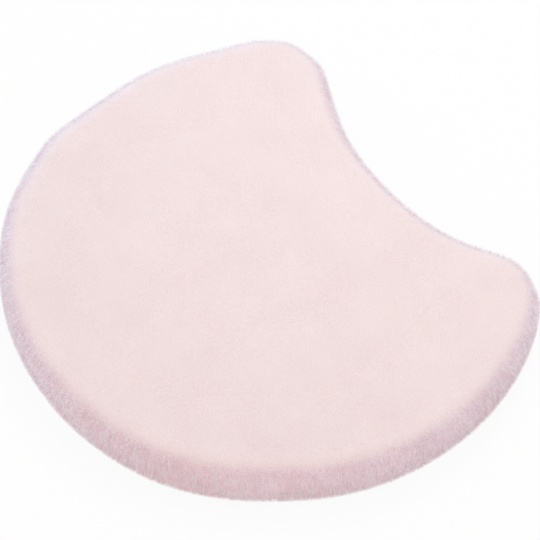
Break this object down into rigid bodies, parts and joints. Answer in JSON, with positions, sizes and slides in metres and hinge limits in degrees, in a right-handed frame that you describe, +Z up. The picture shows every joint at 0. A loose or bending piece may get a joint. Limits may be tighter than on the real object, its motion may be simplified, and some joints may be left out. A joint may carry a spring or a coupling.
{
  "type": "makeup sponge",
  "caption": "Flat round makeup sponge with a concave bite between two rounded horns: a foam core in a coat of binder, covered all over in short dense pile.",
  "frame": {"origin": "centre of the pad's round side, on the flat face that it rests on", "axes": "+Z up through the thickness, +Y from the round side towards the bite, +X across the pad to the right horn"},
  "size_m": [0.065, 0.0556, 0.0082],
  "materials": {
    "foam": "open-cell latex foam, pale pink",
    "binder": "cured flocking adhesive, soft and matte",
    "pile": "short upright nylon flock, pale pink velour"
  },
  "bodies": {
    "root": {"foam_core": "foam", "lower_binder_coat": "binder", "edge_binder_coat": "binder", "upper_binder_coat": "binder", "lower_flock_pile": "pile", "edge_flock_pile": "pile", "upper_flock_pile": "pile"}
  },
  "joints": []
}
